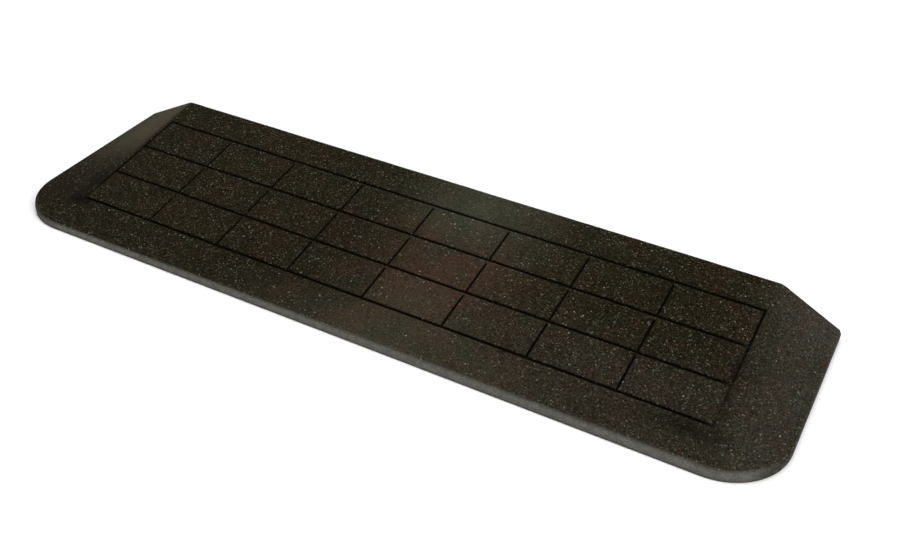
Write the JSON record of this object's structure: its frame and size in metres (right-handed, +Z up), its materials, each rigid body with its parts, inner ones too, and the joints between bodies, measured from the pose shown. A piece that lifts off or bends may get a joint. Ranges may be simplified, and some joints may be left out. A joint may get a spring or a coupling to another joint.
{
  "type": "rubber threshold ramp",
  "caption": "Low black rubber wedge with flared wings and a grooved, flecked top, laid against a door sill so wheels can roll over the step.",
  "frame": {"origin": "middle of the underside, half way from toe to heel, on the ground", "axes": "+X along the sill, to the right of someone walking up the ramp; +Y up the slope from toe to heel; +Z up"},
  "size_m": [1.09, 0.305, 0.055],
  "materials": {
    "black_crumb_rubber": "moulded, fine crumb, satin on the rounded nose",
    "flecked_crumb_rubber": "moulded, matt, black-brown crumb with pale grey, tan, rust and green flecks"
  },
  "bodies": {
    "root": {"base_course": "black_crumb_rubber", "wear_course": "flecked_crumb_rubber"}
  },
  "joints": []
}
